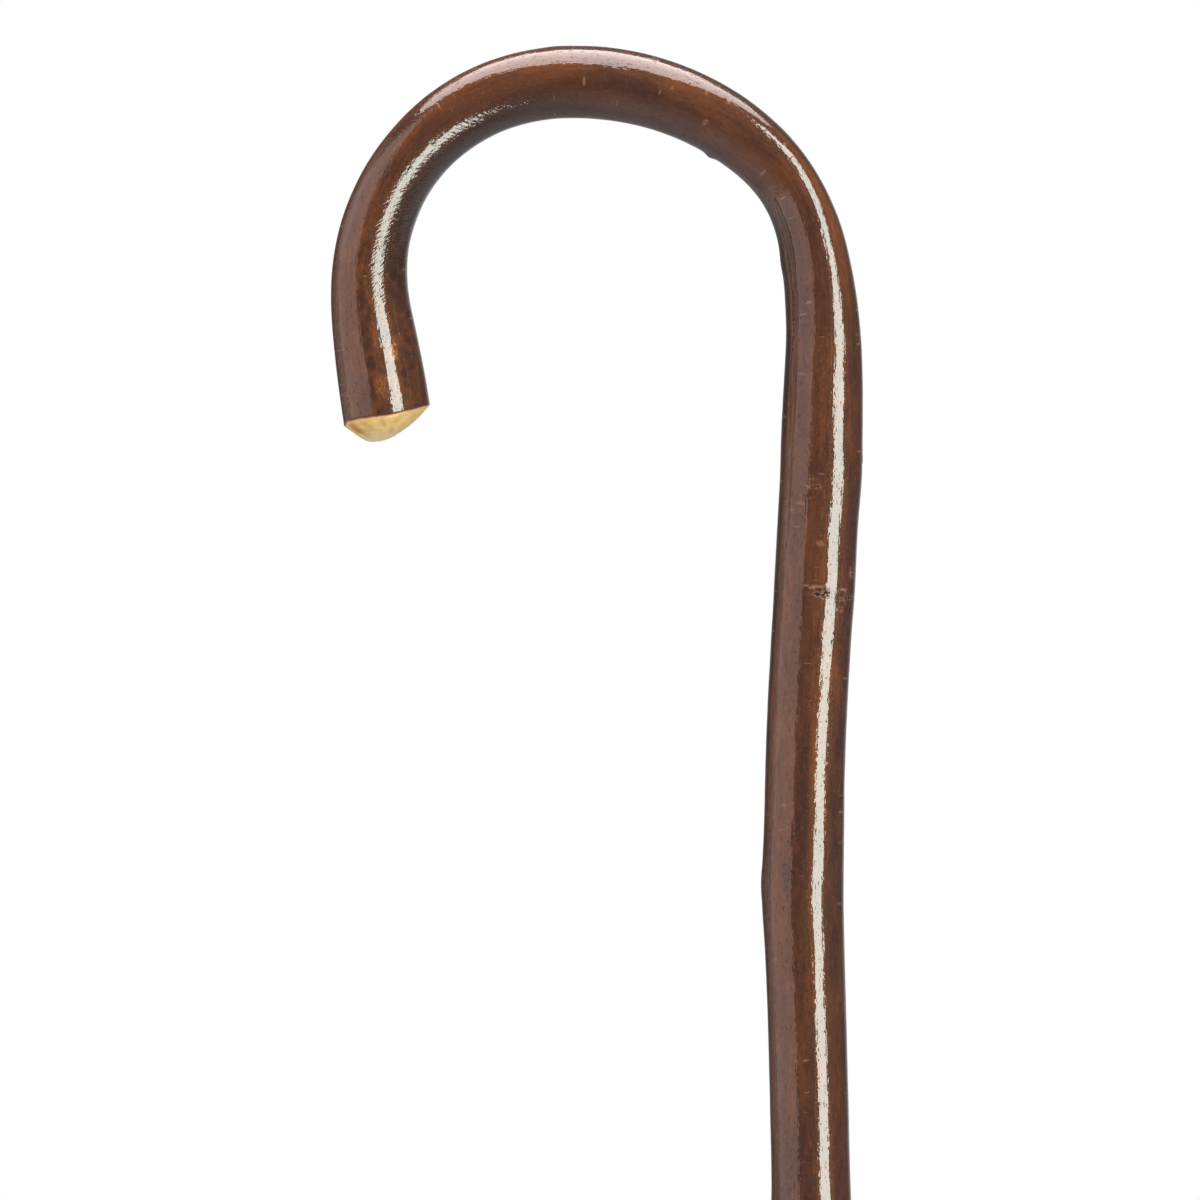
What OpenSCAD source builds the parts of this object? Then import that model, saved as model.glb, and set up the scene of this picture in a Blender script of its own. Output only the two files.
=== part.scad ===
// Crook walking cane: one steam-bent chestnut stick with its bark left on, a bare rasped
// nose, and a rubber ferrule with a steel washer pushed on to the pared foot.
// The sole stands at the origin and the shaft rises along +Z, with a natural stick's small
// wander. The crook bends in one upright plane, towards -X, and its near side faces -Y.

/* [Stick] */
// Height of the whole cane, from the sole to the top of the crown
cane_height = 920; // [820:5:980]
// Diameter over the bark at the top of the shaft, where the crook starts
shaft_d = 21.3; // [20:0.1:24]
// Thickness of the bark
bark_t = 0.8; // [0.5:0.1:1.2]
// Depth of the shoulder pared in the wood above the ferrule
foot_shoulder = 0.5; // [0.3:0.1:1]

/* [Crook bends] */
// Turn of the easy bend where the shaft runs into the crook, in degrees
throat_turn = 12.8; // [6:0.1:18]
// Radius of that bend, along the middle of the stick
throat_r = 128; // [90:1:160]
// Turn of the tight shoulder above it
shoulder_turn = 37; // [30:0.1:42]
// Radius of the shoulder
shoulder_r = 44.2; // [40:0.1:56]
// Turn of the crown over the top
crown_turn = 46.7; // [40:0.1:54]
// Radius of the crown
crown_r = 72.8; // [60:0.1:80]
// Turn of the front, which comes down to the nose
front_turn = 92.4; // [80:0.1:96]
// Radius of the front
front_r = 52; // [46:0.1:58]
// Length of the straight nose, up to the bark's edge
nose_len = 28.2; // [20:0.1:36]

/* [Crook thickness] */
// Diameter over the bark at the shoulder, where the bend drew the stick thin
shoulder_d = 16.1; // [15:0.1:19]
// Diameter over the bark where the crown starts
crown_start_d = 18.5; // [17:0.1:21]
// Diameter over the bark past the crown's middle, where it is thickest
crown_d = 19.4; // [17:0.1:22]
// Diameter over the bark at the middle of the front
front_d = 17.8; // [17:0.1:21]
// Diameter over the bark at the end of the front
curl_d = 19.2; // [18:0.1:22]
// Diameter over the bark at the root of the nose
nose_root_d = 22.8; // [20:0.1:25]
// Diameter over the bark at its cut edge on the nose
nose_d = 23.4; // [21:0.1:26]
// How much deeper than thick the stick is at the middle of the crook, from front to back
crook_flat = 2.6; // [0:0.1:4]

/* [Nose] */
// Height of the rasped dome above the bark's cut edge
dome_h = 5.8; // [4:0.1:8]
// How much fuller the dome is on its outer side, as a share
dome_skew = 0.35; // [0:0.05:0.5]
// Tilt of the cut edge, which leaves the outer side longer, in degrees
nose_tilt = 6; // [0:1:10]
// Slope of the flat that is rasped on the outer side of the dome, in degrees
rasp_slope = 45; // [35:1:55]

/* [Ferrule] */
// Diameter of the pared foot, which is the ferrule's nominal size
spigot_d = 17; // [15:0.5:19]
// Gap between the foot and the socket wall
socket_gap = 0.05; // [0.02:0.01:0.1]
// Depth of the socket above the washer
socket_depth = 27; // [20:1:32]
// Thickness of the rubber wall at the rim
rim_wall = 3.6; // [3:0.1:5]
// Thickness of the rubber under the washer
sole_t = 8; // [6:0.5:11]
// Diameter of the sole
sole_d = 33; // [31:0.5:38]
// Height of the upright edge of the sole
sole_edge = 5; // [4:0.5:5.5]
// Height at which the flare runs into the neck
neck_z = 15; // [14:0.5:19]
// Number of beads round the neck
beads = 3; // [1:1:3]
// Radius of each bead
bead_r = 0.7; // [0.4:0.1:0.9]
// Number of tread rings round the sole's middle pad
tread_rings = 3; // [1:1:4]
// Width of each groove between them
groove_w = 1.3; // [0.8:0.1:1.6]
// Depth of each groove
groove_depth = 1.4; // [0.8:0.1:2]
// Gap between the rim and the end of the bark above it
seat_gap = 0.5; // [0.3:0.1:1]

/* [Washer] */
// Outer diameter of the steel washer, which is moulded in an undercut of the socket
washer_d = 20; // [18:0.5:21]
// Thickness of the washer
washer_t = 1.5; // [1:0.1:2.5]
// Diameter of its hole
washer_hole_d = 6; // [4:0.5:8]
// Gap round the washer in its undercut
washer_gap = 0.15; // [0.05:0.05:0.3]

/* [Hidden] */
$fn = 96;

// Facets of the swept stick
sides = 20;
crook_steps = 42;
shaft_steps = 44;

// The stick's way from foot to nose. Heights are in z, and the crook runs by its own length
foot_z = sole_t + washer_t;
rim_z = foot_z + socket_depth;
bark_z = rim_z + seat_gap;
crook_bends = [
    [throat_turn, throat_r],
    [shoulder_turn, shoulder_r],
    [crown_turn, crown_r],
    [front_turn, front_r]
];
bend_len = [for (b = crook_bends) b[0] * PI / 180 * b[1]];
bend_end = [for (i = 0, s = 0; i <= len(bend_len); s = s + (i < len(bend_len) ? bend_len[i] : 0), i = i + 1) s];
turn_end = [for (i = 0, t = 0; i <= len(bend_len); t = t + (i < len(bend_len) ? crook_bends[i][0] : 0), i = i + 1) t];
turn_table = [for (i = [0 : len(bend_end) - 1]) [bend_end[i], turn_end[i]]];
crook_len = bend_end[len(bend_end) - 1] + nose_len;

// A table's value, softened by the mean of five looks over a reach on both sides
function softened(s, table, reach) =
    [for (k = [-2 : 2]) lookup(s + k * reach / 2, table)] * [1, 1, 1, 1, 1] / 5;
// Reach over which one bend eases into the next
ease_reach = 7;
function heading(s) = 90 + softened(s, turn_table, ease_reach);

// The stick starts to thin this far below the throat, where the crook starts
thin_below = 12;
// Diameter over the bark on the crook, by the length above the throat
crook_thickness = [
    [-thin_below, shaft_d],
    [bend_end[1] + bend_len[1] / 2, shoulder_d],
    [bend_end[2] + bend_len[2] / 4, crown_start_d],
    [bend_end[2] + bend_len[2] * 3 / 4, crown_d],
    [bend_end[3] + bend_len[3] / 2, front_d],
    [bend_end[4] - bend_len[3] / 6, curl_d],
    [bend_end[4] + nose_len * 2 / 5, nose_root_d],
    [crook_len, nose_d]
];
// Reach over which one diameter eases into the next
thickness_reach = 8;
function crook_d(s) = softened(s, crook_thickness, thickness_reach);

// Middle line of the crook from the throat, in x and z
crook_ds = crook_len / crook_steps;
crook_line = [
    for (
        i = 0, p = [0, 0];
        i <= crook_steps;
        p = p + crook_ds * [cos(heading((i + 0.5) * crook_ds)), sin(heading((i + 0.5) * crook_ds))],
        i = i + 1
    ) p
];
crook_rise = max([
    for (i = [0 : crook_steps]) crook_line[i][1] - crook_d(i * crook_ds) / 2 * cos(heading(i * crook_ds))
]);
throat_z = cane_height - crook_rise;
shaft_len = throat_z - bark_z;

// How the shaft leans, by the distance below the throat: [below, lean to +X, lean to +Y], in degrees
leans = [
    [0, 0.3, 0], [16, 2, 0.1], [28, 1, 0.2], [40, 3.8, 0.4], [56, 3.1, 0.4], [82, 3.4, 0.2],
    [104, 2.2, -0.3], [120, 0.4, -0.6], [136, 1.2, -0.8], [150, -1.9, -0.4], [172, -1.7, 0.3], [235, -0.7, 0.8],
    [290, 0.9, 0.6], [340, 1.1, 0.1], [354, -0.7, -0.7], [430, -0.9, -0.9], [446, 0.7, -0.3], [520, 0.6, 0.6],
    [600, -0.3, 0.8], [640, -0.9, -0.2], [700, 0.6, -0.7], [760, 0.4, -0.3]
];
lean_x_table = [for (l = leans) [l[0], l[1]]];
lean_y_table = [for (l = leans) [l[0], l[2]]];
// The foot stands upright, and the leans come in above it over this length
foot_straight = 60;
function smooth(t) = let (u = min(1, max(0, t))) u * u * (3 - 2 * u);
function settled(below) = smooth((shaft_len - below) / foot_straight);
function lean_x(below) = settled(below) * lookup(below, lean_x_table);
function lean_y(below) = settled(below) * lookup(below, lean_y_table);

// Rings of the shaft stand closer together towards the throat
ring_spread = 1.45;
function ring_below(i) = shaft_len * pow(max(0, 1 - i / shaft_steps), ring_spread);
// How far the middle line moves in x and y from one ring up to the next
function wander(i) =
    let (bottom = ring_below(i), top = ring_below(i + 1), middle = (bottom + top) / 2)
    (bottom - top) * [tan(lean_x(middle)), tan(lean_y(middle))];
shaft_line = [for (i = 0, p = [0, 0]; i <= shaft_steps; p = p + wander(i), i = i + 1) p];
throat = shaft_line[shaft_steps];

// Old knots swell the shaft: [below the throat, side in degrees from -X towards -Y, swelling, half length]
knots = [
    [31, 180, 0.35, 13], [62, 150, 0.3, 10], [141, 10, 0.6, 15], [232, 250, 0.5, 14], [347, 100, 0.7, 15],
    [438, 215, 0.6, 15], [531, 320, 0.6, 14], [628, 60, 0.6, 15], [706, 190, 0.5, 13]
];
function swelling(below, a) = [
    for (k = knots) k[2] * exp(-pow((below - k[0]) / k[3], 2)) * (0.35 + 0.65 * pow((1 + cos(a - k[1])) / 2, 2))
] * [for (k = knots) 1];

// The shaft tapers evenly from there to the foot
foot_bark_d = spigot_d + 2 * (foot_shoulder + bark_t);
function shaft_bark_d(below) =
    let (t = max(0, below - thin_below - thickness_reach) / (shaft_len - thin_below - thickness_reach))
    crook_d(-below) + (foot_bark_d - shaft_d) * t;
// The bend leaves the crook deeper than thick
function crook_depth(s) = crook_d(s) + crook_flat * smooth(s / bend_end[1]) * smooth((crook_len - s) / bend_end[2]);

// Length over which the rings tilt to the cut edge
tilt_len = 30;
function tilt_at(s) = nose_tilt * smooth(1 - (crook_len - s) / tilt_len);

// One ring of the shaft or the crook, less a skin: its points run from the hollow of the crook,
// which is -X on the shaft, round by the near side
function shaft_ring(i, skin) =
    let (below = ring_below(i), d = shaft_bark_d(below), l = lean_x(below))
    [
        for (k = [0 : sides - 1])
            let (a = 360 * k / sides, r = d / 2 - skin + swelling(below, a) * settled(below))
            [
                shaft_line[i][0] - r * cos(a) * cos(l),
                shaft_line[i][1] - r * sin(a),
                throat_z - below + r * cos(a) * sin(l)
            ]
    ];
function crook_point(s, p, inward, near, along) =
    let (h = heading(s))
    [
        throat[0] + p[0] - inward * sin(h) + along * cos(h),
        throat[1] - near,
        throat_z + p[1] + inward * cos(h) + along * sin(h)
    ];
function crook_ring(i, skin) =
    let (s = i * crook_ds, r = crook_d(s) / 2 - skin, depth = crook_depth(s) / 2 - skin)
    [
        for (k = [0 : sides - 1])
            let (a = 360 * k / sides, inward = r * cos(a))
            crook_point(s, crook_line[i], inward, depth * sin(a), -inward * tan(tilt_at(s)))
    ];

// The dome is a cap on the cut edge, with one flat rasped on its outer side
nose_r = nose_d / 2;
cap_r = (nose_r * nose_r + dome_h * dome_h) / (2 * dome_h);
function dome_rise(r, a) = min(
    (sqrt(cap_r * cap_r - r * r) - (cap_r - dome_h)) * (1 - dome_skew * r * cos(a) / nose_r),
    (nose_r + r * cos(a)) * tan(rasp_slope)
);
function dome_point(r, a) =
    crook_point(
        crook_len, crook_line[crook_steps], r * cos(a), r * sin(a), dome_rise(r, a) - r * cos(a) * tan(nose_tilt)
    );
wood_r = nose_r - bark_t;
dome_shares = [1, 0.9, 0.76, 0.58, 0.38, 0.17];
function dome_ring(share) = [for (k = [0 : sides - 1]) dome_point(wood_r * share, 360 * k / sides)];

// Rings of a surface of the stick at a depth under the bark's outer face, up to the nose
function stick_rings(skin) = concat(
    [for (i = [0 : shaft_steps]) shaft_ring(i, skin)],
    [for (i = [1 : crook_steps - (skin > 0 ? 1 : 0)]) crook_ring(i, skin)],
    skin > 0 ? [dome_ring(1)] : []
);

function flat_list(rings) = [for (ring = rings) each ring];
function reversed(list) = [for (i = [len(list) - 1 : -1 : 0]) list[i]];
// Two triangles for each quad between one ring and the next, up the outside
function skin_faces(from, to) = [
    for (k = [0 : sides - 1])
        let (n = (k + 1) % sides, a = from * sides, b = to * sides)
        each [[a + k, b + k, b + n], [a + k, b + n, a + n]]
];
// The same quads down the inside of a sleeve, split along the same diagonals as the skin inside it
function lining_faces(from, to) = [
    for (k = [0 : sides - 1])
        let (n = (k + 1) % sides, a = from * sides, b = to * sides)
        each [[a + k, b + k, a + n], [b + k, b + n, a + n]]
];

// A solid bounded by rings that run up its outside, flat below its first ring and drawn to a tip
module tipped_sweep(rings, tip) {
    last = len(rings) - 1;
    tip_index = len(rings) * sides;
    polyhedron(
        points = concat(flat_list(rings), [tip]),
        faces = concat(
            [for (j = [0 : last - 1]) each skin_faces(j, j + 1)],
            [[for (k = [0 : sides - 1]) k]],
            [for (k = [0 : sides - 1]) [last * sides + (k + 1) % sides, last * sides + k, tip_index]]
        ),
        convexity = 6
    );
}

// A sleeve bounded by rings that run up its outside and down its inside
module sleeve(outside, inside) {
    count = len(outside) + len(inside);
    polyhedron(
        points = flat_list(concat(outside, reversed(inside))),
        faces = concat(
            [for (j = [0 : len(outside) - 1]) each skin_faces(j, j + 1)],
            [for (j = [len(outside) : count - 1]) each lining_faces(j, (j + 1) % count)]
        ),
        convexity = 8
    );
}

// Stick of sapwood and heartwood: shaft, crook and domed nose, pared to a true round at the foot
foot_chamfer = 1;
foot_root = 4;
module chestnut_wood() {
    color("burlywood") union() {
        tipped_sweep(
            concat(stick_rings(bark_t), [for (i = [1 : len(dome_shares) - 1]) dome_ring(dome_shares[i])]),
            dome_point(0, 0)
        );
        rotate_extrude() polygon([
            [0, foot_z],
            [spigot_d / 2 - foot_chamfer, foot_z],
            [spigot_d / 2, foot_z + foot_chamfer],
            [spigot_d / 2, bark_z + foot_root],
            [0, bark_z + foot_root]
        ]);
    }
}

// Bark from the shoulder above the ferrule to its cut edge on the nose
module bark() {
    color("saddlebrown") sleeve(stick_rings(0), stick_rings(bark_t));
}

// Points of an arc from one angle to another, about a centre
arc_steps = 6;
function arc(centre, r, from, to) = [
    for (i = [0 : arc_steps]) let (a = from + (to - from) * i / arc_steps) centre + r * [cos(a), sin(a)]
];

// Outline of the rubber, from the middle of the sole round to the rim. The flange's edges and
// the rim are rounded, and the flare above the flange meets the neck upright
edge_round = 1.2;
rim_round = 1;
socket_r = spigot_d / 2 + socket_gap;
rim_r = socket_r + rim_wall;
sole_r = sole_d / 2;
flange_r = sole_r - edge_round;
flare_rise = neck_z - sole_edge;
flare_run = flange_r - rim_r;
flare_r = (flare_rise * flare_rise + flare_run * flare_run) / (2 * flare_run);
flare_angle = asin(flare_rise / flare_r);
first_bead = 3.2;
bead_pitch = 3.4;
function bead(i) = arc([rim_r, rim_z - first_bead - i * bead_pitch], bead_r, -90, 90);
rubber_outline = concat(
    [[0, 0]],
    arc([flange_r, edge_round], edge_round, -90, 0),
    arc([flange_r, sole_edge - edge_round], edge_round, 0, 90),
    reversed(arc([rim_r + flare_r, neck_z], flare_r, 180, 180 + flare_angle)),
    [for (i = [beads - 1 : -1 : 0]) each bead(i)],
    arc([rim_r - rim_round, rim_z - rim_round], rim_round, 0, 90),
    [[0, rim_z]]
);

mouth_chamfer = 0.6;
undercut_r = washer_d / 2 + washer_gap;
undercut_h = washer_t + washer_gap;
// Tread: rings and grooves share the sole evenly outside the middle pad
pad_r = 4;
tread_pitch = (flange_r - pad_r) / tread_rings;
module rubber_ferrule() {
    color("dimgray") difference() {
        rotate_extrude() polygon(rubber_outline);
        translate([0, 0, foot_z]) cylinder(r = socket_r, h = rim_z);
        translate([0, 0, sole_t]) cylinder(r = undercut_r, h = undercut_h);
        translate([0, 0, rim_z - mouth_chamfer])
            cylinder(r1 = socket_r, r2 = socket_r + 2 * mouth_chamfer, h = 2 * mouth_chamfer);
        for (i = [0 : tread_rings - 1]) tread_groove(pad_r + i * tread_pitch);
    }
}

module tread_groove(inner_r) {
    difference() {
        translate([0, 0, -1]) cylinder(r = inner_r + groove_w, h = groove_depth + 1);
        translate([0, 0, -2]) cylinder(r = inner_r, h = groove_depth + 3);
    }
}

// Washer that spreads the load of the foot over the sole
module steel_washer() {
    color("silver") translate([0, 0, sole_t]) difference() {
        cylinder(d = washer_d, h = washer_t);
        translate([0, 0, -1]) cylinder(d = washer_hole_d, h = washer_t + 2);
    }
}

chestnut_wood();
bark();
rubber_ferrule();
steel_washer();
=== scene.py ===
import math

import bpy
import numpy as np
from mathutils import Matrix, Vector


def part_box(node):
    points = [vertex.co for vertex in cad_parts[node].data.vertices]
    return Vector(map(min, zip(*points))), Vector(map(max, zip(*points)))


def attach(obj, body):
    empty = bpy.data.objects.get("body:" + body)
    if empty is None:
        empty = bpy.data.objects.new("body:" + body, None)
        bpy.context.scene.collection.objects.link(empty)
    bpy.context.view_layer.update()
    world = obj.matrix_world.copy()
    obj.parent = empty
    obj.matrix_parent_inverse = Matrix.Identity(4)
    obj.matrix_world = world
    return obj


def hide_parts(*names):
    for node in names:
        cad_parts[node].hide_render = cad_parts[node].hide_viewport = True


# Looks of the crook walking cane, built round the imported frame. The stick is one surface told by
# two parameters: the way along it, from the bark's lower end up the shaft and round the crook to
# the nose, and the angle round it, from the hollow side of the crook by the near side. The bark is
# a closed sleeve between that surface and one a bark's thickness inside it. Lengths are in
# millimetres here and become metres as they go into the meshes.
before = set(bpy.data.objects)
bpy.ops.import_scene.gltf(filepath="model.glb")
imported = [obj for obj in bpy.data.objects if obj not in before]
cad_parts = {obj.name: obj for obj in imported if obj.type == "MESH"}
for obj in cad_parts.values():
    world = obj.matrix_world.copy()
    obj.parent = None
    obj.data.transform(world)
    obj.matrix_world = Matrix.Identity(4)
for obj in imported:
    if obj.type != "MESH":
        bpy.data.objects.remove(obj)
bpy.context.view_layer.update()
MM = 0.001


def node_box(node):
    """Lowest and highest corner of a CAD node, in millimetres."""
    low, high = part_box(node)
    return np.array(low) / MM, np.array(high) / MM


# Heights and radii that the frame gives
FOOT_Z = node_box("chestnut_wood")[0][2]
BARK_Z = node_box("bark")[0][2]
RIM_Z = node_box("rubber_ferrule")[1][2]
SOLE_T = node_box("steel_washer")[0][2]
SOLE_R = node_box("rubber_ferrule")[1][1]
WASHER_R = node_box("steel_washer")[1][0]

# The stick
CANE_HEIGHT = 920.0
SHAFT_D = 21.3
BARK_T = 0.8
FOOT_SHOULDER = 0.5
SPIGOT_D = 17.0
FOOT_BARK_D = SPIGOT_D + 2 * (FOOT_SHOULDER + BARK_T)

# The crook's bends, as turn in degrees and radius, and the straight nose after them
BENDS = ((12.8, 128.0), (37.0, 44.2), (46.7, 72.8), (92.4, 52.0))
NOSE_LEN = 28.2
EASE_REACH = 7.0
BEND_LEN = [math.radians(turn) * radius for turn, radius in BENDS]
BEND_END = np.concatenate([[0], np.cumsum(BEND_LEN)])
CROOK_LEN = BEND_END[-1] + NOSE_LEN
TURNS = np.array([BEND_END, np.concatenate([[0], np.cumsum([turn for turn, _ in BENDS])])]).T

# Diameter over the bark, by the way above the throat, where the crook starts
THIN_BELOW = 12.0
THICKNESS_REACH = 8.0
NOSE_D = 23.4
THICKNESS = (
    (-THIN_BELOW, SHAFT_D),
    (BEND_END[1] + BEND_LEN[1] / 2, 16.1),
    (BEND_END[2] + BEND_LEN[2] / 4, 18.5),
    (BEND_END[2] + BEND_LEN[2] * 3 / 4, 19.4),
    (BEND_END[3] + BEND_LEN[3] / 2, 17.8),
    (BEND_END[4] - BEND_LEN[3] / 6, 19.2),
    (BEND_END[4] + NOSE_LEN * 2 / 5, 22.8),
    (CROOK_LEN, NOSE_D),
)
CROOK_FLAT = 2.6
LINE_STEP = 0.25

# How the shaft leans: distance below the throat, lean to +X and lean to +Y in degrees
LEANS = np.array([
    (0, 0.3, 0), (16, 2, 0.1), (28, 1, 0.2), (40, 3.8, 0.4), (56, 3.1, 0.4), (82, 3.4, 0.2),
    (104, 2.2, -0.3), (120, 0.4, -0.6), (136, 1.2, -0.8), (150, -1.9, -0.4), (172, -1.7, 0.3),
    (235, -0.7, 0.8), (290, 0.9, 0.6), (340, 1.1, 0.1), (354, -0.7, -0.7), (430, -0.9, -0.9),
    (446, 0.7, -0.3), (520, 0.6, 0.6), (600, -0.3, 0.8), (640, -0.9, -0.2), (700, 0.6, -0.7),
    (760, 0.4, -0.3),
])
FOOT_STRAIGHT = 60.0

# How far the section is out of round, by the way above the throat: a twofold wave, which makes an
# oval with its length aslant, a threefold one, which makes a blunt ridge on the near side, and a
# fourfold one, which rounds the near side more tightly between two flatter flanks
OUT_OF_ROUND = (
    (-700, 0.2, -0.15, 0), (-560, -0.25, 0.1, 0), (-400, 0.2, 0.15, 0), (-260, -0.15, -0.1, 0),
    (-195, 0.8, 0.35, 0), (-165, 0.8, 0.35, 0), (-115, 0.12, 0.1, 0), (-50, -0.1, 0, -0.05),
    (-30, -0.1, 0, -0.05), (-15, 0, 0, 0), (5, -0.3, 0, 0), (25, -0.6, 0.08, 0),
    (45, -0.8, 0.12, -0.03), (58, -0.9, 0.05, -0.3), (68, -0.6, 0, -0.1), (85, -0.1, 0, 0),
    (105, -0.2, 0, 0), (125, -0.9, -0.12, 0), (145, -1.45, -0.22, 0), (165, -1.25, -0.25, 0.1),
    (185, -1.35, -0.25, 0.08), (205, -1.1, -0.22, 0.2), (CROOK_LEN, -1.1, -0.22, 0.25),
)
OUT_OF_ROUND_REACH = 12.0
# Folds that the bend pressed up along its hollow side: start and end above the throat, side in
# degrees, rise, half width in degrees
FOLDS = (
    (-54, 60, 49, 0.26, 10), (-58, 50, 39, -0.24, 3.6), (-32, 72, 29, 0.16, 4), (-26, 58, -42, 0.2, 9),
    (-22, 52, -30, -0.16, 4),
)

# Old knots swell the shaft: distance below the throat, side in degrees, swelling, half length
KNOTS = (
    (31, 180, 0.35, 13), (62, 150, 0.3, 10), (141, 10, 0.6, 15), (232, 250, 0.5, 14),
    (347, 100, 0.7, 15), (438, 215, 0.6, 15), (531, 320, 0.6, 14), (628, 60, 0.6, 15),
    (706, 190, 0.5, 13),
)

# The nose
DOME_H = 5.8
DOME_SKEW = 0.35
NOSE_TILT = 6.0
TILT_LEN = 30.0
RASP_SLOPE = 45.0
# How far the bark's cut edge stops short of the plain cut, by the angle round the stick: the cut
# slants up on the near side, most of all outwards. The rings next to it lean back with it
CUT_BACK = (
    (0, 0.7), (40, 0.65), (73, 0.8), (107, 1.6), (130, 2.2), (150, 2.5), (166, 1.7), (180, 0.9),
    (230, 0.6), (310, 0.6), (360, 0.7),
)
CUT_LEAN_LEN = 9.0
DOME_BACK = 0.45
NOSE_R = NOSE_D / 2
CAP_R = (NOSE_R ** 2 + DOME_H ** 2) / (2 * DOME_H)
WOOD_R = NOSE_R - BARK_T


def smooth(t):
    """The smooth step from 0 to 1, three t squared less two t cubed."""
    t = np.clip(t, 0, 1)
    return t * t * (3 - 2 * t)


def softened(s, table, reach):
    """Mean of five straight-line readings of a table, spread evenly over a reach on both sides."""
    at, value = np.array(table, float).T
    return sum(np.interp(s + k * reach / 2, at, value) for k in range(-2, 3)) / 5


def crook_rise():
    """Height of the crown's outer face over the throat: the highest middle point plus its radius."""
    s = np.arange(0, CROOK_LEN, LINE_STEP)
    heading = np.radians(90 + softened(s + LINE_STEP / 2, TURNS, EASE_REACH))
    height = np.cumsum(np.sin(heading)) * LINE_STEP
    return (height - softened(s, THICKNESS, THICKNESS_REACH) / 2 * np.cos(heading)).max()


THROAT_Z = CANE_HEIGHT - crook_rise()
SHAFT_LEN = THROAT_Z - BARK_Z
LENGTH = SHAFT_LEN + CROOK_LEN


def settled(way):
    """Share of the shaft's natural bends and swellings, which come in above the straight foot."""
    return smooth(way / FOOT_STRAIGHT)


def middle_line():
    """The stick's middle line on a fine grid of the way, as way, x, y, z and heading in degrees.

    Each step up the shaft moves sideways by the tangent of its leans, and each step round the
    crook goes along the heading that the bends have turned to. The heading is then eased by the
    mean of its nearest readings."""
    way = np.linspace(0, LENGTH, int(LENGTH / LINE_STEP) + 1)
    middle, step = (way[1:] + way[:-1]) / 2, np.diff(way)
    below = SHAFT_LEN - middle
    lean_x, lean_y = (settled(middle) * np.interp(below, LEANS[:, 0], LEANS[:, k]) for k in (1, 2))
    heading = np.where(below > 0, 90 - lean_x, 90 + softened(-below, TURNS, EASE_REACH))
    turned = np.radians(heading)
    dx = np.where(below > 0, np.tan(np.radians(lean_x)), np.cos(turned)) * step
    dy = np.where(below > 0, np.tan(np.radians(lean_y)), 0) * step
    dz = np.where(below > 0, 1, np.sin(turned)) * step
    x, y, z = (np.concatenate([[0], np.cumsum(d)]) for d in (dx, dy, dz))
    readings = 25
    padded = np.pad(heading, readings // 2, mode="edge")
    eased = np.convolve(padded, np.ones(readings) / readings, mode="valid")
    return way, x, y, BARK_Z + z, np.interp(way, middle, eased)


LINE = middle_line()


def lumps(way, angle, pitch, columns, seed):
    """Smooth random relief from -1 to 1: random heights on a grid with a row at every pitch of the
    way and so many columns round the stick, joined by smooth steps and closed round the stick."""
    rows = int(LENGTH / pitch) + 4
    heights = np.random.default_rng(seed).uniform(-1, 1, (rows, columns))
    row, column = way / pitch + 1, angle / 360 * columns
    i, j = np.floor(row).astype(int), np.floor(column).astype(int)
    u, v = smooth(row - i), smooth(column - j)

    def corner(di, dj):
        return heights[np.clip(i + di, 0, rows - 1), (j + dj) % columns]

    low = corner(0, 0) * (1 - v) + corner(0, 1) * v
    high = corner(1, 0) * (1 - v) + corner(1, 1) * v
    return low * (1 - u) + high * u


def turned_by(angle, side):
    """Angle from a side of the stick, between -180 and 180 degrees."""
    return (angle - side + 180) % 360 - 180


def swelling(way, angle):
    """Rise of the shaft at its old knots: a bell along the way, fullest on the knot's own side."""
    behind = 0.35
    below = SHAFT_LEN - way
    total = 0
    for at, side, rise, half in KNOTS:
        facing = ((1 + np.cos(np.radians(angle - side))) / 2) ** 2
        total = total + rise * np.exp(-((below - at) / half) ** 2) * (behind + (1 - behind) * facing)
    return total * settled(way)


# Healed leaf scars on the sides that the knots face: distance below the throat, side, half length
# along the stick and half width round it
EYES = (
    (141, 12, 3.2, 2.2), (232, 250, 3.6, 2.6), (347, 100, 3.8, 2.8), (438, 215, 3.4, 2.4),
    (531, 320, 3.6, 2.6), (628, 60, 3.6, 2.6), (706, 190, 3.2, 2.4),
)
# Ring scars of old buds, a groove under a lip: distance below the throat, side in degrees, half
# spread in degrees, depth and darkness
RING_SCAR = 65.0
CREASES = (
    (RING_SCAR, 110, 78, 0.10, 0.15), (RING_SCAR, 99, 15, 0.16, 1.0), (RING_SCAR + 1, 140, 24, 0.14, 1.0),
    (RING_SCAR + 1, 262, 36, 0.12, 0.7), (31.0, 181, 12, 0.16, 1.0), (33.5, 205, 34, 0.10, 0.6),
)
# Golden places, partly where the bark was rubbed thin and partly a painted warm sheen beside the
# gloss strip on the near side: distance above the throat, side in degrees, half length, half width
# in degrees and strength
RUBBED_AND_SHEEN = (
    (CROOK_LEN - 8, 84, 4, 11, 0.85), (CROOK_LEN - 21, 79, 5, 6, 0.75), (CROOK_LEN - 17, 57, 3.5, 8, 0.95),
    (CROOK_LEN - 7, 60, 5, 5, 0.8), (79, 116, 13, 10, 0.35), (60, 112, 9, 6, 0.4), (35, 138, 26, 16, 0.7),
    (130, 104, 22, 32, 0.45), (150, 176, 44, 32, 0.8),
    (-120, 100, 26, 6, 0.4), (-185, 108, 40, 6, 0.4), (-90, 108, 22, 6, 0.3), (-330, 40, 30, 16, 0.4),
    (-480, 160, 34, 18, 0.4), (-600, 290, 30, 16, 0.4), (60, 275, 40, 18, 0.4), (170, 250, 34, 16, 0.4),
)
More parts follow.
